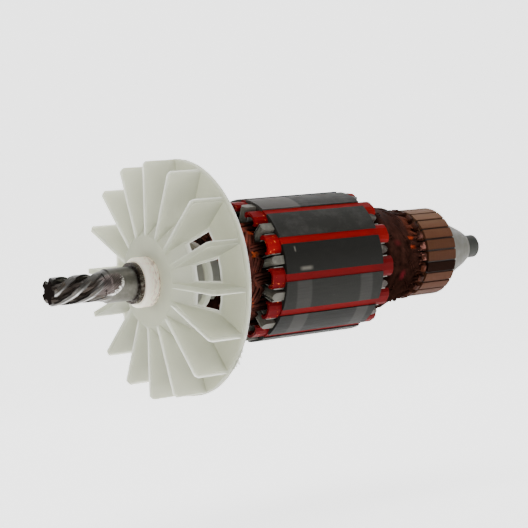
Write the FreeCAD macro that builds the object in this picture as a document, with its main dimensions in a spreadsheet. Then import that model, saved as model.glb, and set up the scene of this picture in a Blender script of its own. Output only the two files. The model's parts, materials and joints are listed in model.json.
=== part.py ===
import FreeCAD, Part
import Sketcher
import math
import os

# Motor armature. The shaft lies along X and the commutator is at the +X end.
# The origin is the centre of the drive end bearing seat, and +Z is up.

doc = FreeCAD.newDocument("motor_armature")
sheet = doc.addObject("Spreadsheet::Sheet", "sizes")

# Driving dimensions, in millimetres and degrees.
SIZES = {
    # Shaft.
    "pinion_radius": 3.28,
    "pinion_length": 14.6,
    "pinion_cone": 2.4,
    "pinion_chamfer": 0.5,
    "pinion_teeth": 5,
    "groove_depth": 1.45,
    "groove_mouth": 2.9,
    "groove_floor": 1,
    "groove_twist": -12.2,
    "groove_stations": 6,
    "drive_seat_radius": 4,
    "drive_seat_length": 7,
    "seat_chamfer": 0.3,
    "collar_step": 0.9,
    "collar_length": 1.2,
    "body_radius": 4.5,
    "commutator_shaft_radius": 4,
    "neck_step": 0.2,
    "stub_radius": 3,
    "stub_length": 5.1,
    "stub_rounding": 0.9,
    # Sleeves.
    "sleeve_wall": 1.4,
    "sleeve_to_fan": 3.5,
    "sleeve_chamfer": 0.4,
    # Fan.
    "fan_radius": 28.15,
    "fan_depth": 9.9,
    "disc_thickness": 1.5,
    "cone_front_radius": 10.7,
    "cone_foot_radius": 18.9,
    "hub_wall": 1.4,
    "hub_tail": 3,
    "hub_flange": 1.4,
    "hub_flange_step": 1.1,
    "blade_count": 16,
    "blade_thickness": 1.2,
    "blade_phase": 8.4,
    "tip_rounding": 0.7,
    "window_inner": 14.2,
    "window_rim": 0.2,
    "window_margin": 0.35,
    "fan_to_core": 18,
    # Core.
    "core_radius": 17.5,
    "core_length": 29.4,
    "slot_count": 12,
    "slot_phase": 9.2,
    "tooth_neck": 2.9,
    "slot_mouth": 1.9,
    "tip_thickness": 0.65,
    "shoulder_drop": 1.1,
    "shoulder_bulge": 0.17,
    "slot_depth": 8.4,
    "slot_floor_bevel": 0.5,
    # Insulation.
    "liner_thickness": 0.25,
    "liner_reach": 2.6,
    "wedge_thickness": 0.6,
    "wedge_skirt": 0.8,
    "wedge_reach": 3.7,
    "wedge_recess": 0.35,
    "arm_width": 2,
    "front_arm_reach": 3.6,
    "rear_arm_reach": 2.3,
    "arm_end_drop": 0.6,
    "star_ring_inset": 0.2,
    "star_ring_thickness": 1.2,
    # Coils.
    "coil_span": 5,
    "outer_leg_depth": 3.6,
    "inner_leg_depth": 6.2,
    "leg_height": 2.4,
    "outer_leg_gap": 0.4,
    "inner_leg_gap": 0.26,
    "turn_height": 1.9,
    "rear_turn_width": 2.5,
    "front_turn_width": 2,
    "rear_straight": 4.2,
    "front_straight": 3.8,
    "rear_turn_rise": 2.9,
    "rear_sleeve_gap": 1.55,
    "rear_apex": 14.2,
    "front_turn_rise": 3.5,
    "front_sleeve_gap": 1.95,
    "front_apex": 10.4,
    "turn_settling": 0.42,
    "turn_dip": 0.86,
    # Commutator.
    "bar_count": 24,
    "bar_phase": 7.5,
    "bar_gap": 2.3,
    "bar_radius": 11.3,
    "bar_depth": 3,
    "track_length": 9.2,
    "riser_length": 2.9,
    "riser_drop": 1.1,
    "hook_width": 1.6,
    "hook_length": 1.6,
    "hook_height": 1.4,
    "hook_setback": 0.6,
    "bar_overlap": 0.25,
    "mica_recess": 0.35,
    "hub_overhang": 0.4,
    "head_to_risers": 1.95,
    "lead_width": 0.9,
    "lead_gap": 0.2,
    "lead_rise": 0.5,
    "lead_clearance": 0.1,
    # Rear cone.
    "cone_flange_radius": 8.8,
    "cone_flange_length": 1.2,
    "cone_waist_wall": 1.7,
    "cone_waist_length": 9.7,
    "cone_tip_wall": 0.8,
    "cone_length": 11.2,
}

for row, (name, size) in enumerate(SIZES.items(), 1):
    sheet.set(f"A{row}", name)
    sheet.set(f"B{row}", str(size))
    sheet.setAlias(f"B{row}", name)
doc.recompute()


def value(formula):
    """Number that a sheet formula has now."""
    answer = sheet.evalExpression(formula)
    return answer.Value if hasattr(answer, "Value") else float(answer)


def on(name):
    return f"sizes.{name}"


# Stations along the shaft, each a formula in the sheet's sizes.
seat_back = "(sizes.drive_seat_length / 2)"
seat_front = f"(-{seat_back})"
pinion_tip = f"({seat_front} - sizes.pinion_length)"
sleeve_front = f"({seat_back} + sizes.collar_length)"
fan_front = f"({sleeve_front} + sizes.sleeve_to_fan)"
disc_back = f"({fan_front} + sizes.fan_depth)"
disc_front = f"({disc_back} - sizes.disc_thickness)"
core_front = f"({disc_back} + sizes.fan_to_core)"
core_back = f"({core_front} + sizes.core_length)"
rear_head_end = f"({core_back} + sizes.rear_apex + sizes.rear_turn_width / 2)"
riser_front = f"({rear_head_end} + sizes.head_to_risers)"
track_front = f"({riser_front} + sizes.riser_length)"
track_back = f"({track_front} + sizes.track_length)"
hub_front = f"({riser_front} - sizes.hub_overhang)"
hub_back = f"({track_back} + sizes.hub_overhang)"
cone_end = f"({hub_back} + sizes.cone_length)"
shaft_end = f"({cone_end} + sizes.stub_length)"

# Radii that follow from another size.
collar_radius = "(sizes.drive_seat_radius + sizes.collar_step)"
sleeve_radius = "(sizes.body_radius + sizes.sleeve_wall)"
neck_radius = "(sizes.stub_radius + sizes.neck_step)"
slot_floor = "(sizes.core_radius - sizes.slot_depth)"
star_ring = f"({slot_floor} - sizes.star_ring_inset)"
bar_root = "(sizes.bar_radius - sizes.bar_depth)"
riser_radius = "(sizes.bar_radius - sizes.riser_drop)"
window_outer = "(sizes.cone_foot_radius - sizes.window_rim)"


def new_body(label):
    body = doc.addObject("PartDesign::Body", label)
    body.Label = label
    return body


def origin_part(body, role):
    return next(part for part in body.Origin.OriginFeatures if part.Role == role)


def new_sketch(body, role, lift="0", turn="0"):
    """Sketch on an origin plane, lifted along its normal and turned about it."""
    sketch = body.newObject("Sketcher::SketchObject", "outline")
    sketch.AttachmentSupport = [(origin_part(body, role), "")]
    sketch.MapMode = "FlatFace"
    spin = FreeCAD.Rotation(FreeCAD.Vector(0, 0, 1), value(turn))
    sketch.AttachmentOffset = FreeCAD.Placement(FreeCAD.Vector(0, 0, value(lift)), spin)
    sketch.setExpression("AttachmentOffset.Base.z", lift)
    return sketch


def draw_outline(sketch, corners):
    """Closed outline with straight sides. Each corner is a pair of formulas."""
    spots = [FreeCAD.Vector(value(across), value(up), 0) for across, up in corners]
    for index, spot in enumerate(spots):
        sketch.addGeometry(Part.LineSegment(spot, spots[(index + 1) % len(spots)]))
    for index, corner in enumerate(corners):
        before = (index - 1) % len(corners)
        sketch.addConstraint(Sketcher.Constraint("Coincident", before, 2, index, 1))
        for kind, formula in zip(("DistanceX", "DistanceY"), corner):
            number = sketch.addConstraint(
                Sketcher.Constraint(kind, -1, 1, index, 1, value(formula)))
            sketch.setExpression(f"Constraints[{number}]", formula)


def turned(body, corners, angle=None):
    """Turn an outline of (station, radius) corners about the shaft axis."""
    sketch = new_sketch(body, "XZ_Plane")
    draw_outline(sketch, corners)
    turn = body.newObject("PartDesign::Revolution", "turning")
    turn.Profile = sketch
    turn.ReferenceAxis = (sketch, ["H_Axis"])
    if angle:
        turn.Midplane = True
        turn.setExpression("Angle", angle)
    body.Tip = turn
    return turn


def padded(body, role, corners, length, lift="0", turn="0", both_ways=False):
    """Pad an outline drawn on an origin plane."""
    sketch = new_sketch(body, role, lift, turn)
    draw_outline(sketch, corners)
    pad = body.newObject("PartDesign::Pad", "pad")
    pad.Profile = sketch
    pad.setExpression("Length", length)
    pad.Midplane = both_ways
    body.Tip = pad
    return pad


def repeated(body, feature, count):
    """Repeat a feature around the shaft axis."""
    pattern = body.newObject("PartDesign::PolarPattern", "repeat")
    pattern.Originals = [feature]
    pattern.Axis = (origin_part(body, "X_Axis"), [""])
    pattern.Angle = 360
    pattern.setExpression("Occurrences", count)
    body.Tip = pattern
    return pattern


def spun(thing, formula):
    """Turn a finished sub-part about the shaft axis to its place."""
    axis = FreeCAD.Vector(1, 0, 0)
    thing.Placement = FreeCAD.Placement(FreeCAD.Vector(), FreeCAD.Rotation(axis, value(formula)))


def shape_feature(label, shape):
    feature = doc.addObject("Part::Feature", label)
    feature.Label = label
    feature.Shape = shape
    return feature


def skinned(sections, closed=False):
    """Solid with flat facets between sections, each a list of corners in the same order."""
    count = len(sections[0])
    pairs = list(zip(sections, sections[1:] + ([sections[0]] if closed else [])))
    facets = []
    for near, far in pairs:
        for index in range(count):
            after = (index + 1) % count
            facets.append([near[index], near[after], far[after]])
            facets.append([near[index], far[after], far[index]])
    if not closed:
        facets += [list(reversed(sections[0])), list(sections[-1])]
    faces = [Part.Face(Part.makePolygon(corners + corners[:1])) for corners in facets]
    solid = Part.Solid(Part.Shell(faces))
    return solid if solid.Volume > 0 else solid.reversed()


def at(station, radius, angle):
    """Point at a station on the shaft, with the angle in degrees about the axis from +Z."""
    turn = math.radians(angle)
    return FreeCAD.Vector(station, -radius * math.sin(turn), radius * math.cos(turn))


# Shaft: one steel piece with the pinion, both bearing seats and the collar.

shaft_blank = new_body("shaft_blank")
turned(shaft_blank, [
    (pinion_tip, "0"),
    (pinion_tip, "sizes.pinion_radius - sizes.pinion_chamfer"),
    (f"{pinion_tip} + sizes.pinion_chamfer", on("pinion_radius")),
    (f"{seat_front} - sizes.pinion_cone", on("pinion_radius")),
    (seat_front, "sizes.drive_seat_radius - sizes.seat_chamfer"),
    (f"{seat_front} + sizes.seat_chamfer", on("drive_seat_radius")),
    (seat_back, on("drive_seat_radius")),
    (seat_back, collar_radius),
    (sleeve_front, collar_radius),
    (sleeve_front, on("body_radius")),
    (hub_front, on("body_radius")),
    (hub_front, on("commutator_shaft_radius")),
    (hub_back, on("commutator_shaft_radius")),
    (hub_back, neck_radius),
    (cone_end, neck_radius),
    (cone_end, on("stub_radius")),
    (f"{shaft_end} - sizes.stub_rounding", on("stub_radius")),
    (shaft_end, "sizes.stub_radius - sizes.stub_rounding"),
    (shaft_end, "0"),
])


def groove_section(station, turn, depth):
    """Section of a tooth gap: wide at the mouth, narrow and bevelled at the floor."""
    top = value("sizes.pinion_radius * 1.6")
    floor = top if depth <= 0 else value("sizes.pinion_radius") - depth
    mouth = value("sizes.groove_mouth / 2")
    narrow = value("sizes.groove_floor / 2")
    flare = mouth * top / value("sizes.pinion_radius")
    corners = [(-flare, top), (-mouth * 0.72, floor + depth * 0.5), (-narrow, floor),
               (narrow, floor), (mouth * 0.72, floor + depth * 0.5), (flare, top)]
    return [at(station, math.hypot(across, up), turn + math.degrees(math.atan2(across, up)))
            for across, up in corners]


def tooth_groove(start):
    """Helical tooth gap that runs out of the steel before the bearing seat."""
    first = value(pinion_tip) - value("sizes.pinion_chamfer")
    last = value(seat_front) - value("sizes.pinion_cone / 2")
    stations = int(value("sizes.groove_stations"))
    depth = value("sizes.groove_depth")
    sections = []
    for step in range(stations + 1):
        station = first + (last - first) * step / stations
        turn = start + value("sizes.groove_twist") * (station - first)
        left = stations - step
        rise = depth * (2 - left) / 2 if left < 2 else 0
        sections.append(groove_section(station, turn, depth - rise * 0.9))
    return skinned(sections)


teeth = int(value("sizes.pinion_teeth"))
grooves = shape_feature("pinion_grooves", Part.makeCompound(
    [tooth_groove(360 / teeth * index) for index in range(teeth)]))
shaft = doc.addObject("Part::Cut", "shaft")
shaft.Base = shaft_blank
shaft.Tool = grooves

# Insulating sleeves on the shaft, one on each side of the core.

front_sleeve = new_body("front_shaft_sleeve")
turned(front_sleeve, [
    (sleeve_front, on("body_radius")),
    (sleeve_front, f"{sleeve_radius} - sizes.sleeve_chamfer"),
    (f"{sleeve_front} + sizes.sleeve_chamfer", sleeve_radius),
    (core_front, sleeve_radius),
    (core_front, on("body_radius")),
])
rear_sleeve = new_body("rear_shaft_sleeve")
turned(rear_sleeve, [
    (core_back, on("body_radius")),
    (core_back, sleeve_radius),
    (hub_front, sleeve_radius),
    (hub_front, on("body_radius")),
])

# Fan: back disc and open conical hub with a tube on the sleeve, blades and air windows.

fan = new_body("cooling_fan")
tube_radius = f"({sleeve_radius} + sizes.hub_wall)"
tail_back = f"({disc_back} + sizes.hub_tail)"
turned(fan, [
    (fan_front, sleeve_radius),
    (fan_front, on("cone_front_radius")),
    (disc_front, on("cone_foot_radius")),
    (disc_front, on("fan_radius")),
    (disc_back, on("fan_radius")),
    (disc_back, on("cone_foot_radius")),
    (f"{fan_front} + sizes.disc_thickness", on("cone_front_radius")),
    (f"{fan_front} + sizes.disc_thickness", tube_radius),
    (f"{tail_back} - sizes.hub_flange", tube_radius),
    (f"{tail_back} - sizes.hub_flange", f"{tube_radius} + sizes.hub_flange_step"),
    (tail_back, f"{tube_radius} + sizes.hub_flange_step"),
    (tail_back, sleeve_radius),
])
half_gap = "(180 / sizes.blade_count)"
window_side = "(sizes.blade_thickness / 2 + sizes.window_margin)"


def window_corner(radius, side):
    """Window corner that keeps the same distance to the blade at any radius."""
    place = f"({half_gap} - asin({window_side} / {radius}) / 1 deg)"
    return (f"{side} * {radius} * sin({place} * 1 deg)", f"{radius} * cos({place} * 1 deg)")


window_sketch = new_sketch(fan, "YZ_Plane", tail_back, half_gap)
draw_outline(window_sketch, [window_corner(on("window_inner"), 1),
                             window_corner(window_outer, 1),
                             ("0", window_outer),
                             window_corner(window_outer, -1),
                             window_corner(on("window_inner"), -1)])
window = fan.newObject("PartDesign::Pocket", "window")
window.Profile = window_sketch
window.setExpression("Length", f"{tail_back} - {fan_front}")
fan.Tip = window
repeated(fan, window, on("blade_count"))

blade_sketch = new_sketch(fan, "XZ_Plane")
buried = "(sizes.hub_wall / 2)"
draw_outline(blade_sketch, [
    (fan_front, f"sizes.cone_front_radius - {buried}"),
    (fan_front, "sizes.fan_radius - sizes.tip_rounding"),
    (f"{fan_front} + sizes.tip_rounding", on("fan_radius")),
    (f"{disc_front} + {buried}", on("fan_radius")),
    (f"{disc_front} + {buried}", on("cone_foot_radius")),
])
blade = fan.newObject("PartDesign::Pad", "blade")
blade.Profile = blade_sketch
blade.setExpression("Length", on("blade_thickness"))
blade.Midplane = True
fan.Tip = blade
repeated(fan, blade, on("blade_count"))
spun(fan, on("blade_phase"))

# Lamination core with half closed slots. A slot is drawn pointing up (+Z) and turned.

core = new_body("lamination_core")
turned(core, [
    (core_front, on("body_radius")),
    (core_front, on("core_radius")),
    (core_back, on("core_radius")),
    (core_back, on("body_radius")),
])
half_pitch = "(180 deg / sizes.slot_count)"


def slot_half(radius, inset="0"):
    """Half width of a slot at a height, with sides parallel to the teeth."""
    return (f"({radius} * tan({half_pitch})"
            f" - (sizes.tooth_neck / 2 + {inset}) / cos({half_pitch}))")


tip_radius = "(sizes.core_radius - sizes.tip_thickness)"
shoulder = f"({tip_radius} - sizes.shoulder_drop)"
shoulder_middle = (f"((sizes.slot_mouth / 2 + {slot_half(shoulder)}) / 2 + sizes.shoulder_bulge)",
                   f"(({tip_radius} + {shoulder}) / 2 + sizes.shoulder_bulge)")
bevel_top = f"({slot_floor} + sizes.slot_floor_bevel)"


def mirrored(half):
    """Full outline from the half on the +Y side, listed from top to floor."""
    return half + [(f"-({across})", up) for across, up in reversed(half)]


core_cut = new_sketch(core, "YZ_Plane", core_back)
draw_outline(core_cut, mirrored([
    ("sizes.slot_mouth / 2", "sizes.core_radius + sizes.tip_thickness"),
    ("sizes.slot_mouth / 2", tip_radius),
    shoulder_middle,
    (slot_half(shoulder), shoulder),
    (slot_half(bevel_top), bevel_top),
    (f"{slot_half(bevel_top)} - sizes.slot_floor_bevel * 0.6", slot_floor),
]))
slot = core.newObject("PartDesign::Pocket", "slot")
slot.Profile = core_cut
slot.setExpression("Length", on("core_length"))
core.Tip = slot
repeated(core, slot, on("slot_count"))
spun(core, on("slot_phase"))

# Slot liners: folded paper channels on the sides and floor of each slot.


def liner_corner(radius, inset):
    return (value(slot_half(radius, inset)), value(radius))


def slot_liner(turn):
    paper = on("liner_thickness")
    raised = f"({bevel_top} + {paper} * 0.4)"
    outside = [liner_corner(shoulder, "0"), liner_corner(bevel_top, "0"),
               (value(f"{slot_half(bevel_top)} - sizes.slot_floor_bevel * 0.6"), value(slot_floor))]
    inside = [liner_corner(shoulder, paper), liner_corner(raised, paper)]
    inside.append((value(f"{slot_half(bevel_top, paper)} - sizes.slot_floor_bevel * 0.6"),
                   value(f"{slot_floor} + {paper}")))
    half = outside + [(-across, up) for across, up in reversed(outside)]
    back = [(-across, up) for across, up in inside] + list(reversed(inside))
    front = value(f"{core_front} - sizes.liner_reach")
    corners = [at(front, math.hypot(across, up), turn - math.degrees(math.atan2(across, up)))
               for across, up in half + back]
    face = Part.Face(Part.makePolygon(corners + corners[:1]))
    return face.extrude(FreeCAD.Vector(value("sizes.core_length + 2 * sizes.liner_reach"), 0, 0))


slot_count = int(value("sizes.slot_count"))
slot_pitch = 360 / slot_count
slot_phase = value("sizes.slot_phase")
liners = shape_feature("slot_liners", Part.makeCompound(
    [slot_liner(slot_phase + slot_pitch * index) for index in range(slot_count)]))

# Slot wedges: arched strips under the tooth tips, with a ridge that fills the slot mouth.

skirt = f"({shoulder} - sizes.wedge_skirt)"
arch_inset = "(sizes.liner_thickness + sizes.wedge_thickness)"
wedge_names = []
for index in range(slot_count):
    wedge = new_body(f"slot_wedge_{index + 1:02d}")
    wedge_names.append(wedge.Label)
    padded(wedge, "YZ_Plane", mirrored([
        ("sizes.slot_mouth / 2", tip_radius),
        (f"{shoulder_middle[0]} - sizes.liner_thickness / 2", shoulder_middle[1]),
        (slot_half(shoulder, on("liner_thickness")), shoulder),
        (slot_half(skirt, on("liner_thickness")), skirt),
        (slot_half(skirt, arch_inset), skirt),
        (slot_half(shoulder, arch_inset), f"{shoulder} - sizes.wedge_thickness / 4"),
        ("sizes.slot_mouth / 2", f"{tip_radius} - sizes.wedge_thickness"),
    ]), "sizes.core_length + 2 * sizes.wedge_reach", f"{core_front} - sizes.wedge_reach")
    ridge_top = "(sizes.core_radius - sizes.wedge_recess)"
    padded(wedge, "YZ_Plane", mirrored([
        ("sizes.slot_mouth / 2", ridge_top),
        ("sizes.slot_mouth / 2", f"{tip_radius} - sizes.wedge_thickness / 2"),
    ]), on("core_length"), core_front)
    spun(wedge, f"sizes.slot_phase + 360 / sizes.slot_count * {index}")


# End insulators: a ring on the core face with a rounded arm over each tooth.

def end_insulator(label, face, side):
    """Insulator star on one core face; side is -1 towards the fan and 1 behind the core."""
    star = new_body(label)
    turned(star, [
        (face, sleeve_radius),
        (face, star_ring),
        (f"{face} + {side} * sizes.star_ring_thickness", star_ring),
        (f"{face} + {side} * sizes.star_ring_thickness", sleeve_radius),
    ])
    root = f"({star_ring} - sizes.liner_thickness * 2)"
    reach = on("front_arm_reach" if side < 0 else "rear_arm_reach")
    shoulder_line = f"{face} + {side} * ({reach} - sizes.arm_width / 2)"
    soft_line = f"{face} + {side} * ({reach} - sizes.arm_width * 0.15)"
    arm = padded(star, "XY_Plane", [
        (face, "-sizes.arm_width / 2"),
        (shoulder_line, "-sizes.arm_width / 2"),
        (soft_line, "-sizes.arm_width * 0.3"),
        (f"{face} + {side} * {reach}", "0"),
        (soft_line, "sizes.arm_width * 0.3"),
        (shoulder_line, "sizes.arm_width / 2"),
        (face, "sizes.arm_width / 2"),
    ], f"sizes.core_radius - sizes.arm_end_drop - {root}", root)
    repeated(star, arm, on("slot_count"))
    spun(star, "sizes.slot_phase + 180 / sizes.slot_count")
    return star


front_insulator = end_insulator("front_end_insulator", core_front, -1)
rear_insulator = end_insulator("rear_end_insulator", core_back, 1)

# Coils: each is a closed bundle of wire with its outer leg in one slot, its inner leg five
# slots on, and end turns that slant across the outer layer, dip and return underneath.


def coil_section(station, radius, turn, heading, high, wide):
    """Six sided bundle section square to a heading: 0 runs along +X, 90 runs around."""
    swing = math.radians(heading)
    section = []
    for across, up in ((-0.5, 0), (-0.3, -0.5), (0.3, -0.5), (0.5, 0), (0.3, 0.5), (-0.3, 0.5)):
        sideways = across * wide * math.cos(swing)
        along = -across * wide * math.sin(swing)
        height = radius + up * high
        spread = math.degrees(math.atan2(sideways, height))
        section.append(at(station + along, math.hypot(sideways, height), turn + spread))
    return section


def end_turn(side, legs, start):
    """Sections of one end turn, from the first leg over the tip to the second leg."""
    end = "rear" if side > 0 else "front"
    straight = value(f"sizes.{end}_straight")
    face = value(core_back if side > 0 else core_front) + side * straight
    reach = value(f"sizes.{end}_apex") - straight
    half_span = slot_pitch * value("sizes.coil_span") / 2
    settling = value("sizes.turn_settling")
    height, width = value("sizes.turn_height"), value(f"sizes.{end}_turn_width")
    inner = value(f"{sleeve_radius} + sizes.{end}_sleeve_gap") + height / 2
    settled = {"inner": inner, "outer": inner + value(f"sizes.{end}_turn_rise")}
    base = 0 if side > 0 else 180
    stops = [0, settling / 3, settling, value("sizes.turn_dip"), 1]
    sections = []
    for half, leg in enumerate(legs):
        leg_middle = f"(sizes.core_radius - sizes.{leg}_leg_depth)"
        leg_gap = f"(sizes.liner_thickness + sizes.{leg}_leg_gap)"
        leg_radius, leg_width = value(leg_middle), value(f"2 * {slot_half(leg_middle, leg_gap)}")
        slant = math.degrees(math.atan2(math.radians(half_span) * settled[leg], reach))
        rows = []
        for part in stops:
            drop = max(0, 1 - part / settling)
            radius = settled[leg] + (leg_radius - settled[leg]) * drop
            heading = slant * min(1, part * 3 / settling)
            if part == 1:
                radius, heading = sum(settled.values()) / 2, 90
            if half:
                heading = 180 - heading
            size = height, width
            if part == 0:
                size = value("sizes.leg_height"), leg_width
            travel = half_span * (2 - part if half else part)
            rows.append(coil_section(face + side * reach * part, radius, start + side * travel,
                                     base + heading, *size))
        sections += list(reversed(rows[:-1])) if half else rows
    return sections


def coil(start):
    span = slot_pitch * value("sizes.coil_span")
    return skinned(end_turn(1, ("outer", "inner"), start)
                   + end_turn(-1, ("inner", "outer"), start + span), True)


coil_names = []
for index in range(slot_count):
    winding = shape_feature(f"coil_{index + 1:02d}", coil(slot_phase))
    spun(winding, f"360 / sizes.slot_count * {index}")
    coil_names.append(winding.Label)

# Commutator: bars with hooks on a moulded hub whose ribs fill the gaps between them.

bar_angle = "(360 / sizes.bar_count - sizes.bar_gap)"
bar_count = int(value("sizes.bar_count"))
bar_names = []
hook_front = f"({riser_front} + sizes.hook_setback)"
hook_back = f"({hook_front} + sizes.hook_length)"
hook_top = f"({riser_radius} + sizes.hook_height)"
for index in range(bar_count):
    bar = new_body(f"commutator_bar_{index + 1:02d}")
    bar_names.append(bar.Label)
    turned(bar, [
        (riser_front, bar_root),
        (riser_front, riser_radius),
        (track_front, riser_radius),
        (track_front, on("bar_radius")),
        (track_back, on("bar_radius")),
        (track_back, bar_root),
    ], f"{bar_angle} * 1 deg")
    padded(bar, "XZ_Plane", [
        (hook_front, f"{riser_radius} - sizes.bar_overlap"),
        (hook_front, f"{hook_top} - sizes.hook_height * 0.3"),
        (f"{hook_front} + sizes.hook_length * 0.3", hook_top),
        (f"{hook_back} - sizes.hook_length * 0.2", hook_top),
        (hook_back, f"{hook_top} - sizes.hook_height * 0.4"),
        (hook_back, f"{riser_radius} - sizes.bar_overlap"),
    ], on("hook_width"), both_ways=True)
    spun(bar, f"sizes.bar_phase + 360 / sizes.bar_count * {index}")

hub = new_body("commutator_hub")
turned(hub, [
    (hub_front, on("commutator_shaft_radius")),
    (hub_front, bar_root),
    (hub_back, bar_root),
    (hub_back, on("commutator_shaft_radius")),
])
rib = turned(hub, [
    (track_front, f"{bar_root} - sizes.bar_overlap"),
    (track_front, "sizes.bar_radius - sizes.mica_recess"),
    (track_back, "sizes.bar_radius - sizes.mica_recess"),
    (track_back, f"{bar_root} - sizes.bar_overlap"),
], "sizes.bar_gap * 1 deg")
repeated(hub, rib, on("bar_count"))
spun(hub, "sizes.bar_phase + 180 / sizes.bar_count")

# Coil leads: short wires from the rear winding head to the commutator hooks.


def coil_lead(turn):
    half = value("sizes.lead_width / 2")
    rest = value(f"{riser_radius} + sizes.lead_clearance") + half
    first = value(f"{rear_head_end} + sizes.lead_gap")
    last = value(hook_front)
    sections = []
    for part, lift in ((0, -1), (0.5, -0.4), (1, 0)):
        radius = rest + value("sizes.lead_rise") * lift
        station = first + (last - first) * part
        sections.append([at(station, radius + up * half, turn + math.degrees(side * half / radius))
                         for side, up in ((-1, 0), (-0.5, -1), (0.5, -1), (1, 0), (0.5, 1),
                                          (-0.5, 1))])
    return skinned(sections)


leads = shape_feature("coil_leads", Part.makeCompound(
    [coil_lead(value("sizes.bar_phase") + 360 / bar_count * index) for index in range(bar_count)]))

# Insulating cone between the commutator and the stub seat.

rear_cone = new_body("rear_insulating_cone")
turned(rear_cone, [
    (hub_back, neck_radius),
    (hub_back, on("cone_flange_radius")),
    (f"{hub_back} + sizes.cone_flange_length", on("cone_flange_radius")),
    (f"{hub_back} + sizes.cone_waist_length", f"{neck_radius} + sizes.cone_waist_wall"),
    (cone_end, f"{neck_radius} + sizes.cone_tip_wall"),
    (cone_end, neck_radius),
])

doc.recompute()

nodes = ["shaft", "front_shaft_sleeve", "rear_shaft_sleeve", "cooling_fan", "lamination_core",
         "slot_liners", "front_end_insulator", "rear_end_insulator", "commutator_hub",
         "coil_leads", "rear_insulating_cone"] + wedge_names + coil_names + bar_names

for thing in doc.Objects:
    if "Invalid" in thing.State or "Error" in thing.State:
        raise RuntimeError(f"{thing.Label} did not build")

os.makedirs("parts", exist_ok=True)
for name in nodes:
    shape = doc.getObjectsByLabel(name)[0].Shape
    if shape.isNull() or not shape.isValid():
        raise RuntimeError(f"{name} has no valid shape")
    shape.exportStep(f"parts/{name}.step")
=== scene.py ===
import bpy
import json
import math
import random
from mathutils import Matrix, Vector


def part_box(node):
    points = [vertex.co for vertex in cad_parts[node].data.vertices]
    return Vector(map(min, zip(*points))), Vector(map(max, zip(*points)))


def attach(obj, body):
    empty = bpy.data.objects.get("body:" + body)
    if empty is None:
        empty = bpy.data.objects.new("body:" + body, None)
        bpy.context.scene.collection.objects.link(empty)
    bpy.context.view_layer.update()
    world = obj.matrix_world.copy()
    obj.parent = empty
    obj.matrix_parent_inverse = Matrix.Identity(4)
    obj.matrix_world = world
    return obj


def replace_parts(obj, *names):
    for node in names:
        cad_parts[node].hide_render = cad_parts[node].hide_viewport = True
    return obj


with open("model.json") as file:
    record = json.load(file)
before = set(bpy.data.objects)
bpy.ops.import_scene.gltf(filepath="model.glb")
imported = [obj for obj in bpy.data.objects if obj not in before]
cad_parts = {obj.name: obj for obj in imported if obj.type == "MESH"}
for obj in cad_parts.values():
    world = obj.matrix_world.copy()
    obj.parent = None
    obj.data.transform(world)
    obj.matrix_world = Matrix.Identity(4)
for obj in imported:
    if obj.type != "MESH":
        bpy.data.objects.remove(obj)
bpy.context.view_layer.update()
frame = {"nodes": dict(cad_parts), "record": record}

# Lengths are in millimetres up to the camera, and this turns them into metres. The backdrop
# and the lights after it are in metres.
MM = 0.001

# Sizes of the solids, as the part's source has them. Twists are degrees to a millimetre, and
# phases are degrees about the shaft from +Z. The middle of the first tooth gap is GAP_ANGLE
# degrees above the near side at the station GAP_STATION.
CORE_RADIUS = 17.5
SEAT_LENGTH = 7
SEAT_FRONT, SEAT_BACK = -SEAT_LENGTH / 2, SEAT_LENGTH / 2
PINION_RADIUS = 3.28
TOOTH_COUNT, TOOTH_TWIST = 5, 12.2
GAP_STATION, GAP_ANGLE = -18.6, 18
SLOT_COUNT, SLOT_PHASE = 12, 9.2
COIL_SPAN = 5
BAR_COUNT, BAR_PHASE = 24, 7.5
HUB_TAIL, HOOK_SETBACK = 3, 0.6

# Stations along the shaft, and the radius of the fan's rim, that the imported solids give.
CORE_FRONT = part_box("lamination_core")[0].x / MM
CORE_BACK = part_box("lamination_core")[1].x / MM
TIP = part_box("shaft")[0].x / MM
DISC_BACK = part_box("cooling_fan")[1].x / MM - HUB_TAIL
FAN_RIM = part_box("cooling_fan")[1].z / MM
HOOK_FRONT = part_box("commutator_bar_01")[0].x / MM + HOOK_SETBACK
# The stub's finish starts under the rear cone.
STUB_START = 100


# Shader building blocks. Any input may be a number, a colour or the output of another node.

def link(tree, socket, source):
    if isinstance(source, bpy.types.NodeSocket):
        tree.links.new(source, socket)
    elif isinstance(source, (tuple, list)) and len(source) == 3 and socket.type == "RGBA":
        socket.default_value = (*source, 1)
    else:
        socket.default_value = source


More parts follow.
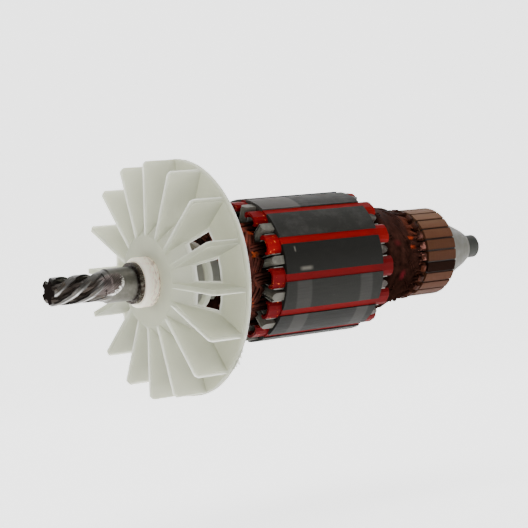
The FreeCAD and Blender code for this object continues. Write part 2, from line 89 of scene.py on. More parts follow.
class Finish:
    """One procedural material with helpers that read like the recipe they build.

    place holds the coordinates in millimetres, along the station on the shaft, radius the
    distance from the axis and angle the degrees about it, 0 at the near side and positive
    upwards. colour is the base colour so far, and tint adds to it."""

    def __init__(self, name):
        self.material = bpy.data.materials.new(name)
        self.material.use_nodes = True
        self.tree = self.material.node_tree
        self.surface = self.tree.nodes["Principled BSDF"]
        place = self.node("ShaderNodeTexCoord").outputs["Object"]
        self.place = self.vector("MULTIPLY", place, (1 / MM, 1 / MM, 1 / MM))
        split = self.node("ShaderNodeSeparateXYZ", Vector=self.place).outputs
        self.along, side, up = split
        turn = self.math("ARCTAN2", up, self.product(side, -1))
        self.angle = self.product(turn, 180 / math.pi)
        self.radius = self.math("SQRT", self.total(self.product(side, side),
                                                   self.product(up, up)))
        self.colour = None

    def node(self, kind, settings=None, **inputs):
        node = self.tree.nodes.new(kind)
        for key, setting in (settings or {}).items():
            setattr(node, key, setting)
        for key, source in inputs.items():
            link(self.tree, node.inputs[key.replace("_", " ")], source)
        return node

    def math(self, operation, first, second=0.0, clamp=False):
        node = self.node("ShaderNodeMath", {"operation": operation, "use_clamp": clamp})
        link(self.tree, node.inputs[0], first)
        link(self.tree, node.inputs[1], second)
        return node.outputs[0]

    def product(self, first, *others):
        for other in others:
            first = self.math("MULTIPLY", first, other)
        return first

    def total(self, first, *others):
        for other in others:
            first = self.math("ADD", first, other)
        return first

    def vector(self, operation, first, second):
        node = self.node("ShaderNodeVectorMath", {"operation": operation})
        link(self.tree, node.inputs[0], first)
        link(self.tree, node.inputs[1], second)
        return node.outputs["Value" if operation == "DISTANCE" else "Vector"]

    def coordinates(self, first, second=0.0, third=0.0):
        return self.node("ShaderNodeCombineXYZ", X=first, Y=second, Z=third).outputs[0]

    def stretched(self, along, around, deep):
        """Coordinates along the shaft, around it and out from it, for patterns on turned faces."""
        return self.coordinates(self.product(self.along, along),
                                self.product(self.angle, around),
                                self.product(self.radius, deep))

    def noise(self, vector, scale, detail=4, roughness=0.6):
        return self.node("ShaderNodeTexNoise", Vector=vector, Scale=scale, Detail=detail,
                         Roughness=roughness).outputs["Fac"]

    def between(self, source, low, high):
        """0 at low and 1 at high, limited to that range."""
        return self.node("ShaderNodeMapRange", Value=source, From_Min=low,
                         From_Max=high).outputs["Result"]

    def window(self, source, low, high, soft):
        """1 inside the range low to high, with soft edges."""
        rise = self.between(source, low - soft, low + soft)
        fall = self.between(source, high + soft, high - soft)
        return self.product(rise, fall)

    def spot(self, station, angle, length, arc, blur, turn_blur):
        """1 in a patch that is length millimetres long and arc degrees wide."""
        return self.product(
            self.window(self.along, station - length / 2, station + length / 2, blur),
            self.window(self.angle, angle - arc / 2, angle + arc / 2, turn_blur))

    def mix(self, amount, first, second):
        node = self.node("ShaderNodeMix", {"data_type": "RGBA"})
        link(self.tree, node.inputs["Factor"], amount)
        link(self.tree, node.inputs["A"], (*first, 1) if isinstance(first, tuple) else first)
        link(self.tree, node.inputs["B"], (*second, 1) if isinstance(second, tuple) else second)
        return node.outputs["Result"]

    def tint(self, target, *shares):
        """Turn the colour towards target by the product of the shares."""
        self.colour = self.mix(self.product(*shares), self.colour, target)

    def set(self, **inputs):
        for key, source in inputs.items():
            link(self.tree, self.surface.inputs[key.replace("_", " ")], source)

    def bump(self, height, strength, depth):
        """Relief that is depth millimetres deep."""
        bump = self.node("ShaderNodeBump", Height=height, Strength=strength, Distance=depth * MM)
        link(self.tree, self.surface.inputs["Normal"], bump.outputs[0])


# Materials. The angles at which a tone changes repeat the light and shade of the photo, so
# they are fixed to the part.

def pinion_teeth(look):
    """Dark crests, one flank polished by the gear with a painted highlight low on the near side,
    and an oily film in the gaps.
    """
    rusty, oily = (0.062, 0.036, 0.017), (0.046, 0.044, 0.042)
    grey, polished = (0.125, 0.12, 0.112), (0.70, 0.69, 0.68)
    black_film, brown_film = (0.014, 0.010, 0.008), (0.110, 0.088, 0.074)
    teeth = look.between(look.along, SEAT_FRONT + 0.3, SEAT_FRONT - 0.9)
    depth = look.between(look.radius, PINION_RADIUS - 0.25, PINION_RADIUS - 0.9)
    helix = look.math("SUBTRACT", look.angle, look.product(look.along, TOOTH_TWIST))
    first_gap = GAP_ANGLE - TOOTH_TWIST * GAP_STATION
    phase = look.math("FLOORED_MODULO", look.math("SUBTRACT", helix, first_gap),
                      360 / TOOTH_COUNT)
    streaks = look.noise(look.coordinates(look.product(helix, 0.35),
                                          look.product(look.along, 0.5)), 1, 4)
    rust = look.mix(look.between(look.noise(look.place, 0.55, 4), 0.50, 0.66), oily, rusty)
    crest = look.mix(look.between(streaks, 0.35, 0.7), rust, grey)
    flank = look.window(phase, 24, 31, 4)
    rubbed = look.between(look.noise(look.stretched(0.5, 0.02, 1), 1.1, 3), 0.32, 0.62)
    # Painted highlight: the polished flank is made bright only on the lower near side.
    crest = look.mix(look.product(flank, rubbed, look.between(look.angle, 30, -20)), crest,
                     polished)
    film = look.mix(look.between(streaks, 0.3, 0.75), black_film, brown_film)
    gap = look.product(teeth, depth)
    look.tint(crest, teeth)
    look.tint(film, gap)
    return gap, streaks


# Mark of the tooth gap's milled end on the seat: its stations, the angle at which it reaches
# furthest, and how many degrees from there it ends a millimetre earlier.
MILLED_FRONT, MILLED_BACK, MILLED_MIDDLE, MILLED_BEND = -5.2, -0.2, 14, 30


def milled_end(look, streaks):
    """Milled end of the tooth gap on the near side: streaked inside, with a painted highlight
    along its edge.
    """
    torn_dark, torn_light = (0.020, 0.014, 0.013), (0.150, 0.122, 0.115)
    glare_dull, glare_bright = (0.16, 0.14, 0.135), (0.80, 0.78, 0.75)
    bend = look.product(look.math("SUBTRACT", look.angle, MILLED_MIDDLE), 1 / MILLED_BEND)
    inset = look.total(look.along, look.product(bend, bend))
    near = look.window(look.angle, -40, 42, 5)
    cup = look.product(near, look.window(inset, MILLED_FRONT, MILLED_BACK, 0.12))
    torn = look.mix(look.between(streaks, 0.35, 0.65), torn_dark, torn_light)
    look.tint(torn, cup, 0.9)
    below = look.product(look.between(look.angle, 35, -25), 1.1)
    ragged = look.product(look.noise(look.place, 1.3, 4, 0.7), 2.8)
    edge = look.between(look.total(inset, below, ragged), 0.95, 1.2)
    # Painted highlight along the edge of the milled end.
    glare = look.mix(look.between(look.noise(look.place, 2.1, 3), 0.38, 0.56), glare_dull,
                     glare_bright)
    look.tint(glare, cup, edge, look.window(look.angle, -37, 32, 5))


def shaft_steel():
    """Turned and ground steel with painted shade on top of the seat and pinion, a grimy collar and
    a dull stub.
    """
    look = Finish("shaft_steel")
    dull_steel, clean_steel = (0.070, 0.066, 0.057), (0.185, 0.178, 0.157)
    painted_upper_shade, tip_black = (0.026, 0.025, 0.022), (0.008, 0.006, 0.0055)
    grime_brown, stub_grey = (0.030, 0.022, 0.017), (0.025, 0.026, 0.022)
    lines = look.noise(look.stretched(14, 0.05, 1), 1, 3)
    blotch = look.noise(look.place, 0.9, 5)
    look.colour = look.mix(blotch, dull_steel, clean_steel)
    gap, streaks = pinion_teeth(look)
    before_collar = look.between(look.along, 4.5, 3.0)
    # Painted shade: the top of the seat and the pinion is darker.
    look.tint(painted_upper_shade, look.between(look.angle, 25, 70), before_collar, 0.75)
    tip = look.between(look.along, TIP + 0.25, TIP + 0.05)
    look.tint(tip_black, tip)
    milled_end(look, streaks)
    collar = look.window(look.along, SEAT_BACK - 0.3, SEAT_BACK + 1.6, 0.25)
    look.tint(grime_brown, collar, look.between(look.noise(look.place, 1.4, 4), 0.62, 0.50))
    stub = look.between(look.along, STUB_START, STUB_START + 1)
    look.tint(stub_grey, stub)
    body = look.math("SUBTRACT", 1, tip)
    dulled = look.total(look.product(gap, 0.25), look.product(stub, 0.9))
    look.set(Base_Color=look.colour,
             Metallic=look.product(look.math("SUBTRACT", 1, dulled), body),
             Specular_IOR_Level=look.product(body, 0.25),
             Roughness=look.total(look.between(lines, -1.0, 2.6), look.product(stub, 0.2)))
    look.bump(look.total(lines, look.product(blotch, 0.8)), 0.25, 0.03)
    return look.material


# Stations in the fan, and the dark speck on the front face of its disc.
HUB_FRONT, BORE_BACK, FLANGE_BACK = 10, 19.5, 21.6
SPECK_STATION, SPECK_RADIUS, SPECK_ANGLE = 16.6, 23.6, math.radians(44.7)
SPECK = (SPECK_STATION, -SPECK_RADIUS * math.cos(SPECK_ANGLE),
         SPECK_RADIUS * math.sin(SPECK_ANGLE))


def sleeve_stain_and_shade(look, amount):
    """Brown ring where the sleeve meets the collar, and painted shade that turns it grey towards
    the fan.
    """
    brown, grey = (0.30, 0.17, 0.12), (0.17, 0.17, 0.145)
    patchy = look.between(look.noise(look.stretched(1.5, 0.06, 1), 1.4, 5), 0.48, 0.60)
    look.tint(brown, look.between(look.along, 5.4, 8.2), patchy, amount)
    # Painted shade: grey towards the fan, where the fan shades the sleeve.
    look.tint(grey, look.between(look.along, 18.4, 20.5))


def nylon(name, light, shade, marks, glow, stain_and_shade=0.0):
    """Natural nylon: milky, with faint clouds and smudges.

    It gives off glow times its own colour. That imitates the light that comes through thin
    nylon, and it flattens the shading of the blades as the photo shows it."""
    look = Finish(name)
    smudge_grey, speck_black = (0.30, 0.27, 0.22), (0.02, 0.02, 0.02)
    painted_bore_shade, painted_tube_shadow = (0.055, 0.055, 0.045), (0.020, 0.015, 0.012)
    painted_rim_shade = tuple(part * 0.72 for part in shade)
    look.colour = look.mix(look.noise(look.place, 0.11, 4), shade, light)
    smudges = look.between(look.noise(look.place, 0.34, 6, 0.7), 0.60, 0.78)
    look.tint(smudge_grey, smudges, marks)
    if stain_and_shade:
        sleeve_stain_and_shade(look, stain_and_shade)
    # Painted shade: the outer part of the disc is darker below.
    look.tint(painted_rim_shade, look.between(look.radius, 11, 24), look.between(look.angle, 60, 20), 0.7)

    # Painted shade in the hub's bore, and painted shadow on the tube and flange seen through the
    # disc's windows.
    in_bore = look.between(look.radius, 8.2, 7.5)
    look.tint(painted_bore_shade, look.window(look.along, HUB_FRONT, BORE_BACK, 0.2), in_bore)
    on_tube = look.between(look.radius, 8.9, 8.5)
    look.tint(painted_tube_shadow, look.window(look.along, HUB_FRONT, FLANGE_BACK, 0.2), on_tube,
              look.between(look.angle, 28, 40), 0.85)
    look.tint(speck_black, look.between(look.vector("DISTANCE", look.place, SPECK), 0.45, 0.25))
    look.set(Base_Color=look.colour, Emission_Color=look.colour, Emission_Strength=glow,
             Roughness=look.between(look.noise(look.place, 1.2, 4), -0.9, 1.6),
             Subsurface_Weight=0.9, Subsurface_Radius=(1.0, 1.0, 0.85), Subsurface_Scale=0.012,
             Specular_IOR_Level=0.2)
    look.bump(look.noise(look.place, 3.0, 6), 0.18, 0.03)
    return look.material


# Bands of painted light across the core's lower side: first and last station of each on the
# near side, and how many millimetres they slant to a degree. The teeth on top have a painted
# light front end.
PAINTED_BANDS, BAND_SLANT = [(38.6, 43.0), (57.9, 61.6)], 0.035
PAINTED_LIGHT_END = (36, 47.5)
# Station, angle, length and arc of the scuff and the scratch on the near tooth.
SCUFF, SCRATCH = (42.0, -2.8, 3.2, 2.8), (39.4, 13, 0.4, 4)
SHEET_THICKNESS = 0.5


def core_steel():
    """Stack of dark sheets, streaked along the shaft."""
    look = Finish("core_steel")
    dark, light = (0.007, 0.007, 0.0058), (0.016, 0.016, 0.0135)
    painted_near_shade, painted_under_shade = (0.0055, 0.005, 0.004), (0.004, 0.0038, 0.0033)
    painted_top_light, painted_cloud_light = (0.026, 0.025, 0.022), (0.031, 0.030, 0.027)
    painted_band_light, painted_end_light = (0.031, 0.0295, 0.027), (0.085, 0.078, 0.072)
    rubbed_grey, scratch_light = (0.05, 0.05, 0.046), (0.12, 0.112, 0.095)
    sheets = look.math("SINE", look.product(look.along, 2 * math.pi / SHEET_THICKNESS))
    streaks = look.noise(look.stretched(0.12, 0.5, 0.4), 1.2, 6, 0.7)
    grain = look.noise(look.stretched(5, 0.05, 1), 1, 4)
    look.colour = look.mix(look.between(streaks, 0.3, 0.72), dark, light)

    # Painted light and shade on each side: shade at the near side, cloudy light above it, darkest
    # shade below.
    look.tint(painted_near_shade, look.window(look.angle, -10, 18, 1.5), 0.6)
    above = look.between(look.angle, 18, 21)
    clouds = look.between(look.noise(look.place, 0.22, 5, 0.7), 0.45, 0.70)
    look.tint(painted_top_light, above, 0.3)
    look.tint(painted_cloud_light, above, clouds)
    look.tint(painted_under_shade, look.between(look.angle, -32, -44), 0.55)

    # Painted light bands below and a painted light front end on top, and rubbed spots on its
    # outside.
    streak_mask = look.between(streaks, 0.0, 0.75)
    slant = look.total(look.along, look.product(look.angle, BAND_SLANT))
    front, back = [look.window(slant, low, high, 0.25) for low, high in PAINTED_BANDS]
    look.tint(painted_band_light, look.math("ADD", front, back, clamp=True),
              look.between(look.angle, -8.5, -11.5), streak_mask)
    look.tint(painted_end_light, look.window(look.along, *PAINTED_LIGHT_END, 0.3),
              look.between(look.angle, 52, 54), streak_mask)
    rubbed = look.between(look.noise(look.stretched(0.35, 0.9, 1), 1.1, 3), 0.72, 0.76)
    outside = look.between(look.radius, CORE_RADIUS - 0.3, CORE_RADIUS - 0.1)
    look.tint(rubbed_grey, rubbed, outside, 0.5)
    marks = look.math("ADD", look.spot(*SCUFF, 0.6, 0.9), look.spot(*SCRATCH, 0.12, 0.8),
                      clamp=True)
    look.tint(scratch_light, marks, 0.75)
    look.set(Base_Color=look.colour, Metallic=0.2, Specular_IOR_Level=0.14,
             Roughness=look.between(streaks, -0.9, 1.3))
    look.bump(look.total(look.product(sheets, 0.25), grain), 0.3, 0.04)
    return look.material


def wedge_red():
    """Red strips, painted light at the near front, painted shade below and behind, painted glints
    in front.
    """
    look = Finish("wedge_red")
    lit_red_dark, lit_red_light = (0.17, 0.0034, 0.0046), (0.28, 0.0056, 0.0070)
    dull_dark, dull_light = (0.130, 0.0034, 0.0034), (0.22, 0.0052, 0.0050)
    crimson_dark, crimson_light = (0.10, 0.0010, 0.0022), (0.17, 0.0018, 0.0036)
    shade, glint = (0.012, 0.0022, 0.0034), (1.0, 0.22, 0.05)
    patch = look.noise(look.stretched(0.25, 0.25, 0.6), 1.3, 5)
    bright = look.mix(patch, lit_red_dark, lit_red_light)
    dull = look.mix(patch, dull_dark, dull_light)
    crimson = look.mix(patch, crimson_dark, crimson_light)
    look.colour = look.mix(look.between(look.along, CORE_FRONT - 0.2, CORE_FRONT + 0.8), crimson,
                           dull)
    # Painted light: brightest towards the front on the near side.
    towards_front = look.between(look.along, 44, 33.5)
    look.tint(bright, towards_front, look.window(look.angle, -12, 27, 5))
    # Painted shade: darker below and a little darker towards the rear.
    low = look.product(look.between(look.angle, 13, -4), look.between(look.along, 29, 32))
    rear = look.between(look.along, CORE_BACK - 4, CORE_BACK)
    look.tint(shade, look.total(look.product(low, 0.46), look.product(rear, 0.12)))
    # Painted glints on the front ends.
    glints = look.between(look.noise(look.place, 1.5, 2), 0.66, 0.72)
    before_core = look.between(look.along, CORE_FRONT + 0.5, CORE_FRONT - 0.5)
    look.tint(glint, glints, before_core, 0.8)
    look.set(Base_Color=look.colour, Roughness=look.between(patch, -0.4, 1.4),
             Specular_IOR_Level=0.03)
    look.bump(look.noise(look.stretched(0.4, 0.5, 1), 2.5, 4), 0.3, 0.05)
    return look.material


def insulation(name, light, shade, dirt_and_shade=0.0):
    """Matt paper or moulding, with painted shade below, and dirt and varnish stains behind the
    core.
    """
    look = Finish(name)
    painted_low_shade, rear_dirt = (0.036, 0.032, 0.026), (0.050, 0.044, 0.036)
    varnish = (0.020, 0.012, 0.009)
    patch = look.noise(look.place, 0.6, 5)
    look.colour = look.mix(look.between(patch, 0.3, 0.7), shade, light)
    # Painted shade: darker below.
    look.tint(painted_low_shade, look.between(look.angle, 0, -12), dirt_and_shade * 0.35)
    rear = look.window(look.along, CORE_BACK + 0.3, CORE_BACK + 12, 0.5)
    look.tint(rear_dirt, rear, dirt_and_shade * 0.7)
    stains = look.between(look.noise(look.place, 0.9, 4), 0.64, 0.46)
    look.tint(varnish, rear, stains, dirt_and_shade)
    look.set(Base_Color=look.colour, Roughness=look.between(patch, -0.4, 1.3),
             Specular_IOR_Level=0.25)
    look.bump(look.noise(look.place, 4, 4), 0.3, 0.04)
    return look.material


# Station, angle, length and arc of the red smears on the rear winding head, and of the orange
# copper spots: two in the leads where the enamel is scraped off, and a painted highlight behind
# the fan.
SMEARS = [(74.6, 12.5, 1.6, 3.5), (76.2, -25, 1.3, 9)]
COPPER_SPOTS = [(80.6, 19.5, 1.6, 4.4), (80.9, 7.5, 1.6, 4.4), (32.2, 41, 2.6, 5)]


def enamel(name, dark, light, hot, shine, smears=()):
    """Enamelled copper wire under varnish: dark, with painted warm glints in front.

    shine is the specular level of its upper side, and below it has none."""
    look = Finish(name)
    upper_painted_light, painted_lead_light = (0.27, 0.062, 0.040), (0.090, 0.024, 0.0130)
    soaked_dark, soaked_light = (0.0034, 0.0014, 0.0010), (0.015, 0.0056, 0.0038)
    upper_lit_dark, upper_lit_light = (0.0095, 0.0038, 0.0028), (0.041, 0.0155, 0.0112)
    painted_hollow_shadow, copper_spot_colour = (0.003, 0.0013, 0.0008), (0.28, 0.036, 0.012)
    smear_red = (0.085, 0.0065, 0.011)
    patch = look.noise(look.place, 0.45, 5)
    look.colour = look.mix(look.between(patch, 0.28, 0.72), dark, light)
    front = look.between(look.along, 34, 30)
    # Painted warm glints in front.
    glow = look.between(look.noise(look.place, 0.38, 3), 0.60, 0.70)
    look.tint(hot, glow, front, 0.7)
    # Painted light on the upper side of the front winding.
    look.tint(upper_painted_light, look.window(look.angle, 26, 60, 5), front, 0.7)

    # The rear head is soaked with varnish, with painted shade below and painted light above.
    pooled = look.between(patch, 0.3, 0.7)
    soaked = look.mix(pooled, soaked_dark, soaked_light)
    upper_lit = look.mix(pooled, upper_lit_dark, upper_lit_light)
    soaked = look.mix(look.between(look.angle, -32, 22), soaked, upper_lit)
    look.tint(soaked, look.between(look.along, CORE_BACK - 1, CORE_BACK + 2))
    # Painted light on top of the leads near the hooks.
    at_hooks = look.between(look.along, 80, 81.5)
    look.tint(painted_lead_light, at_hooks, look.window(look.angle, 22, 60, 5), 0.75)

    # Painted shadow in the slots and where the coils enter them.
    hollow = look.product(look.window(look.along, CORE_FRONT - 5.5, CORE_BACK + 4.5, 1.2),
                          look.between(look.radius, 10.5, 12))
    entry = look.window(look.along, CORE_BACK - 1, CORE_BACK + 4.2, 1.0)
    look.tint(painted_hollow_shadow, look.math("MAXIMUM", hollow, entry), 0.88)
    # Orange copper spots, the one behind the fan a painted highlight.
    for mark in COPPER_SPOTS:
        look.tint(copper_spot_colour, look.spot(*mark, 0.4, 1.2), 0.75)
    for mark in smears:
        look.tint(smear_red, look.spot(*mark, 0.9, 3), 0.8)
    look.set(Base_Color=look.colour, Roughness=look.between(patch, -0.6, 1.7),
             Specular_IOR_Level=look.product(look.between(look.angle, 18, 48), shine))
    look.bump(look.noise(look.place, 2.2, 4), 0.3, 0.06)
    return look.material


# Angles between which the bar lies that has been burnt black, and the end of the hooks.
BURNT_BAR, HOOK_BACK = (-29.6, -15.4), 85.7


def hook_copper(look):
    """Dull hooks, with painted pink glints on the near side."""
    dull_dark, dull_light = (0.018, 0.0055, 0.0030), (0.046, 0.014, 0.0075)
    painted_pink_glint = (0.21, 0.085, 0.065)
    pink_glints = look.product(look.between(look.noise(look.place, 0.9, 4), 0.48, 0.60),
                         look.window(look.angle, -20, 20, 6))
    dull = look.mix(look.between(look.noise(look.place, 0.7, 4), 0.4, 0.6), dull_dark, dull_light)
    return look.mix(pink_glints, dull, painted_pink_glint)


def bar_copper():
    """Brushed copper, each bar in a tone of its own and one burnt black."""
    look = Finish("bar_copper")
    bar_dark, bar_light = (0.045, 0.0155, 0.0075), (0.115, 0.050, 0.025)
    brush_line, bar_near_shade = (0.060, 0.026, 0.0135), (0.038, 0.0125, 0.0058)
    bar_band_light, bar_low_shade = (0.115, 0.048, 0.026), (0.024, 0.0080, 0.0040)
    bar_under_shade, bar_top_light = (0.050, 0.0150, 0.0060), (0.165, 0.085, 0.049)
    joint_brown, burnt = (0.020, 0.0075, 0.0042), (0.0082, 0.0036, 0.0025)
    brushed = look.noise(look.stretched(9, 0.03, 1), 1, 4)
    bars = look.math("DIVIDE", look.angle, 360 / BAR_COUNT)
    own = look.noise(look.coordinates(look.math("FLOOR", bars)), 1.7, 0)
    look.colour = look.mix(own, bar_dark, bar_light)
    look.tint(brush_line, look.between(brushed, 0.35, 0.75))

    # Painted light and shade on each side: darker at the near side and below, lighter in a band
    # above it and on top.
    look.tint(bar_near_shade, look.window(look.angle, -15, 26, 7), 0.35)
    look.tint(bar_band_light, look.window(look.angle, 15, 37, 5), 0.45)
    look.tint(bar_low_shade, look.between(look.angle, -2, -12), 0.35)
    look.tint(bar_under_shade, look.between(look.angle, -30, -42), 0.45)
    look.tint(bar_top_light, look.between(look.angle, 26, 48), 0.75)

    # Dark edges beside the joints, one burnt bar, and the hooks.
    from_middle = look.math("ABSOLUTE", look.math("SUBTRACT", look.math("FRACT", bars), 0.5))
    look.tint(joint_brown, look.between(from_middle, 0.34, 0.48), 0.7)
    black = look.window(look.angle, *BURNT_BAR, 0.3)
    look.tint(burnt, black, 0.97)
    look.tint(hook_copper(look), look.between(look.along, HOOK_BACK, HOOK_BACK - 0.4))
    bright = look.math("SUBTRACT", 1, look.product(black, 0.9))
    look.set(Base_Color=look.colour, Metallic=look.product(bright, 0.2),
             Specular_IOR_Level=look.product(bright, 0.06),
             Roughness=look.between(brushed, -1.2, 1.5))
    look.bump(brushed, 0.25, 0.03)
    return look.material


FINISHES = {
    "shaft_steel": shaft_steel(),
    "white_sleeve": nylon("white_sleeve", light=(0.96, 0.82, 0.56), shade=(0.90, 0.73, 0.48),
                          marks=0.3, glow=0.2, stain_and_shade=0.9),
    "fan_nylon": nylon("fan_nylon", light=(0.165, 0.171, 0.131), shade=(0.137, 0.142, 0.108),
                       marks=0.12, glow=1.65),
    "core_steel": core_steel(),
    "liner_paper": insulation("liner_paper", light=(0.25, 0.24, 0.22), shade=(0.13, 0.125, 0.11)),
    "grey_insulation": insulation("grey_insulation", light=(0.132, 0.127, 0.106),
                                  shade=(0.062, 0.059, 0.048), dirt_and_shade=0.9),
    "wedge_red": wedge_red(),
    "coil_enamel": enamel("coil_enamel", dark=(0.026, 0.0100, 0.0080),
                          light=(0.120, 0.034, 0.0250), hot=(0.50, 0.075, 0.010), shine=0.012),
    "lead_copper": enamel("lead_copper", dark=(0.008, 0.0030, 0.0020),
                          light=(0.030, 0.0115, 0.0080), hot=(0.50, 0.12, 0.04), shine=0.012),
    "hub_moulding": insulation("hub_moulding", light=(0.020, 0.011, 0.007),
                               shade=(0.009, 0.005, 0.004)),
    "bar_copper": bar_copper(),
    "cone_plastic": insulation("cone_plastic", light=(0.060, 0.0565, 0.041),
                               shade=(0.042, 0.0400, 0.0290)),
}
VARNISH = enamel("winding_varnish", dark=(0.0050, 0.0020, 0.0014), light=(0.022, 0.0082, 0.0056),
                 hot=(0.16, 0.02, 0.01), shine=0.002, smears=SMEARS)

SLOT_OF = {part["node"]: part["material_slot"] for part in frame["record"]["subparts"]}
for name, thing in frame["nodes"].items():
    thing.data.materials.clear()
    thing.data.materials.append(FINISHES[SLOT_OF[name]])

# Softened edges on the solids whose edges catch the light: widths by the start of the name.
EDGE_WIDTHS = {"cooling_fan": 0.25, "front_end_insulator": 0.3, "rear_end_insulator": 0.3,
               "lamination_core": 0.08, "slot_wedge": 0.12, "commutator_bar": 0.12}
SHARP_EDGE = math.radians(35)
for name, thing in frame["nodes"].items():
    for start, width in EDGE_WIDTHS.items():
        if name.startswith(start):
            soften = thing.modifiers.new("soft_edges", "BEVEL")
            soften.width = width * MM
            soften.segments = 2
            soften.limit_method = "ANGLE"
            soften.angle_limit = SHARP_EDGE


# Wire bundles.

def at(station, radius, angle):
    """Point at a station on the shaft, with the angle in degrees about the axis from +Z."""
    turn = math.radians(angle)
    return Vector((station, -radius * math.sin(turn), radius * math.cos(turn)))


def new_piece(name, points, faces, finish, smooth=True):
    mesh = bpy.data.meshes.new(name)
    mesh.from_pydata([tuple(point * MM) for point in points], [], faces)
    mesh.update()
    if smooth:
        mesh.polygons.foreach_set("use_smooth", [True] * len(mesh.polygons))
    mesh.materials.append(finish)
    piece = bpy.data.objects.new(name, mesh)
    bpy.context.scene.collection.objects.link(piece)
    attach(piece, "root")
    return piece


def add_tube(points, faces, path, thickness, sides, closed):
    """Round tube along a path of points, added to the lists of points and faces."""
    first = len(points)
    count = len(path)
    for index, spot in enumerate(path):
        before = path[index - 1] if closed or index else spot
        after = path[(index + 1) % count] if closed or index < count - 1 else spot
        heading = (after - before).normalized()
        out = Vector((0, spot.y, spot.z)).normalized()
        across = heading.cross(out).normalized()
        lift = across.cross(heading)
        for side in range(sides):
            swing = 2 * math.pi * side / sides
            points.append(spot + (across * math.cos(swing) + lift * math.sin(swing)) * thickness)
    for index in range(count if closed else count - 1):
        near, far = first + index * sides, first + (index + 1) % count * sides
        for side in range(sides):
            after = (side + 1) % sides
            faces.append((near + side, near + after, far + after, far + side))
    if not closed:
        faces.append(tuple(range(first, first + sides))[::-1])
        faces.append(tuple(range(first + (count - 1) * sides, first + count * sides)))


# How the solids' coils lie at each end, 1 behind the core and -1 before it: the core's face,
# the straight length, the reach of the apex, and the radii of the outer and the inner side.
ENDS = {1: (CORE_BACK, 4.2, 14.2, 11.3, 8.4), -1: (CORE_FRONT, 3.8, 10.4, 12.3, 8.8)}
LEG_RADIUS = {"outer": 12.9, "inner": 11.3}
LEG_WIDTH = {"outer": 3.1, "inner": 2.0}
BUNDLE_HEIGHT, TURN_WIDTH = 2.4, 2.9
# Shares of the way to the apex at which a coil has settled and at which it dips under.
SETTLING, DIP = 0.42, 0.86
SLOT_PITCH = 360 / SLOT_COUNT
HALF_SPAN = SLOT_PITCH * COIL_SPAN / 2


def end_turn(side, legs, start):
    """Rows of station, radius, angle, heading, height and width from one leg to the other.

    The second half is worked out from its leg too, and turned round at the apex."""
    face, straight, apex, outer, inner = ENDS[side]
    settled = {"outer": outer, "inner": inner}
    reach = apex - straight
    base = 0 if side > 0 else 180
    route = []
    for half, leg in enumerate(legs):
        slant = math.degrees(math.atan2(math.radians(HALF_SPAN) * settled[leg], reach))
        rows = []
        for part in (0, SETTLING / 3, SETTLING, DIP, 1):
            drop = max(0, 1 - part / SETTLING)
            radius = settled[leg] + (LEG_RADIUS[leg] - settled[leg]) * drop
            heading = slant * min(1, part * 3 / SETTLING)
            if part == 1:
                radius, heading = (outer + inner) / 2, 90
            if half:
                heading = 180 - heading
            width = TURN_WIDTH if part else LEG_WIDTH[leg]
            travel = HALF_SPAN * (2 - part if half else part)
            rows.append((face + side * (straight + reach * part), radius, start + side * travel,
                         base + heading, BUNDLE_HEIGHT, width))
        route += rows[-2::-1] if half else rows
    return route


def eased(part, before, start, end, after):
    """Number on the Catmull-Rom curve from start to end, between their neighbours."""
    return 0.5 * (2 * start + (end - before) * part
                  + (2 * before - 5 * start + 4 * end - after) * part * part
                  + (3 * start - before - 3 * end + after) * part ** 3)


# Points on the route of a coil to each row of it.
ROUTE_STEPS = 4


def smooth_route(route):
    """Closed route with more points, eased through each row. A lap adds 360 to the heading."""
    count = len(route)
    lap = (0, 0, 0, 360, 0, 0)
    fine = []
    for index in range(count):
        rows = []
        for offset in (-1, 0, 1, 2):
            turns, row = divmod(index + offset, count)
            rows.append([number + lap[place] * turns for place, number in enumerate(route[row])])
        for step in range(ROUTE_STEPS):
            fine.append([eased(step / ROUTE_STEPS, *numbers) for numbers in zip(*rows)])
    return fine


# Wires of one coil, each with its place across and up the bundle as shares of its size.
STRANDS = [(-0.32, -0.32), (0, -0.36), (0.32, -0.32), (-0.42, 0), (-0.14, -0.04), (0.14, 0.04),
           (0.42, 0), (-0.32, 0.32), (-0.1, 0.36), (0.14, 0.34), (0.34, 0.3)]
WIRE_RADIUS, LEAD_RADIUS, WIRE_SIDES = 0.34, 0.36, 6
# How far a wire wanders in its bundle, as a share, and how often in a lap across and up.
WANDER, WANDERS_ACROSS, WANDERS_UP = 0.1, 5, 4


def wound_coil(number):
    chance = random.Random(number)
    start = SLOT_PHASE + SLOT_PITCH * (number - 1)
    route = smooth_route(end_turn(1, ("outer", "inner"), start)
                         + end_turn(-1, ("inner", "outer"), start + 2 * HALF_SPAN))
    points, faces = [], []
    for across, up in STRANDS:
        shift, swell = chance.uniform(0, 6.28), chance.uniform(0.5, 1.0)
        path = []
        for index, (station, radius, angle, heading, high, wide) in enumerate(route):
            lap = 2 * math.pi * index / len(route)
            wave = WANDER * swell
            sideways = (across + wave * math.sin(WANDERS_ACROSS * lap + shift)) * wide
            raised = (up + wave * math.cos(WANDERS_UP * lap + shift * 2)) * high
            swing = math.radians(heading)
            turned = sideways * math.cos(swing)
            height = radius + raised
            spread = math.degrees(math.atan2(turned, height))
            path.append(at(station - sideways * math.sin(swing), math.hypot(turned, height),
                           angle + spread))
        add_tube(points, faces, path, WIRE_RADIUS, WIRE_SIDES, True)
    coil = new_piece(f"coil_wires_{number:02d}", points, faces, FINISHES["coil_enamel"])
    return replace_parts(coil, f"coil_{number:02d}")


for number in range(1, SLOT_COUNT + 1):
    wound_coil(number)


